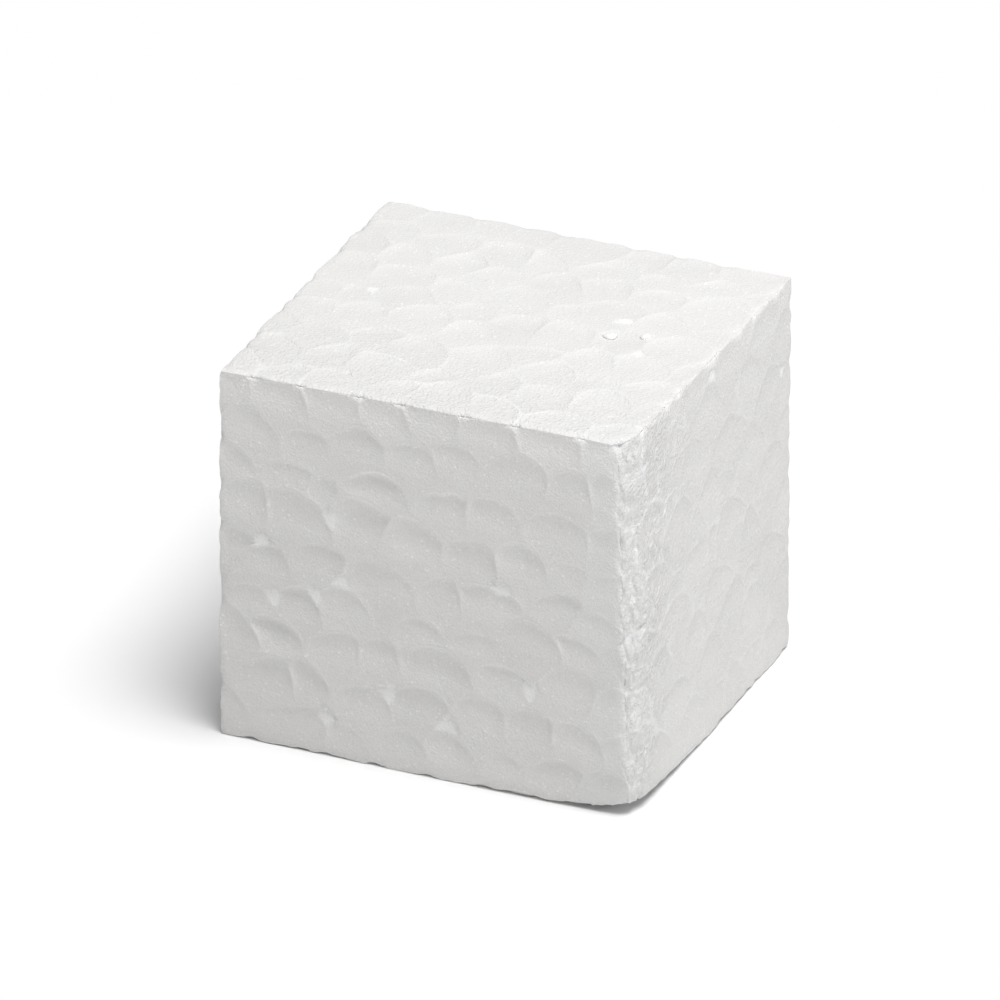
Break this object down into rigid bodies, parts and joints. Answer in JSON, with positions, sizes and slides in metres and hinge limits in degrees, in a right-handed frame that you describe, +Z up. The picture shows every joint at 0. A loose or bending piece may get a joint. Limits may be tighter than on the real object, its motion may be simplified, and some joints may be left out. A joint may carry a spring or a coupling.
{
  "type": "polystyrene foam block",
  "caption": "Small hand-cut block of white expanded-polystyrene bead foam, a rest, filler or pin base for flower and craft work.",
  "frame": {"origin": "centre of the block's overall box at its base, where it rests", "axes": "+X to the block's right along its longest side, +Y to its back, +Z up"},
  "size_m": [0.031, 0.028, 0.028],
  "materials": {
    "cut_foam": "cut face of closed-cell bead foam: matte white, fine cell grain, thin bead walls",
    "edge_foam": "cut bead foam along an edge: matte white, slightly softened",
    "worn_foam": "torn and rubbed bead foam: matte white with whole bead skins and small crumbs",
    "inner_foam": "bead skins fused inside the block, never seen"
  },
  "bodies": {
    "root": {"top_front_left_corner_bead": "edge_foam", "top_front_right_corner_bead": "worn_foam", "top_back_left_corner_bead": "edge_foam", "top_back_right_corner_bead": "edge_foam", "bottom_front_left_corner_bead": "edge_foam", "bottom_front_right_corner_bead": "worn_foam", "bottom_back_left_corner_bead": "edge_foam", "bottom_back_right_corner_bead": "edge_foam", "top_front_edge_beads": "edge_foam", "top_back_edge_beads": "edge_foam", "top_left_edge_beads": "edge_foam", "top_right_edge_beads": "edge_foam", "bottom_front_edge_beads": "edge_foam", "bottom_back_edge_beads": "edge_foam", "bottom_left_edge_beads": "edge_foam", "bottom_right_edge_beads": "edge_foam", "front_left_edge_beads": "edge_foam", "front_right_edge_beads": "worn_foam", "back_left_edge_beads": "edge_foam", "back_right_edge_beads": "edge_foam", "front_face_beads": "cut_foam", "back_face_beads": "cut_foam", "left_face_beads": "cut_foam", "right_face_beads": "cut_foam", "top_face_beads": "cut_foam", "bottom_face_beads": "cut_foam", "lower_inner_beads": "inner_foam", "middle_inner_beads": "inner_foam", "upper_inner_beads": "inner_foam"}
  },
  "joints": []
}
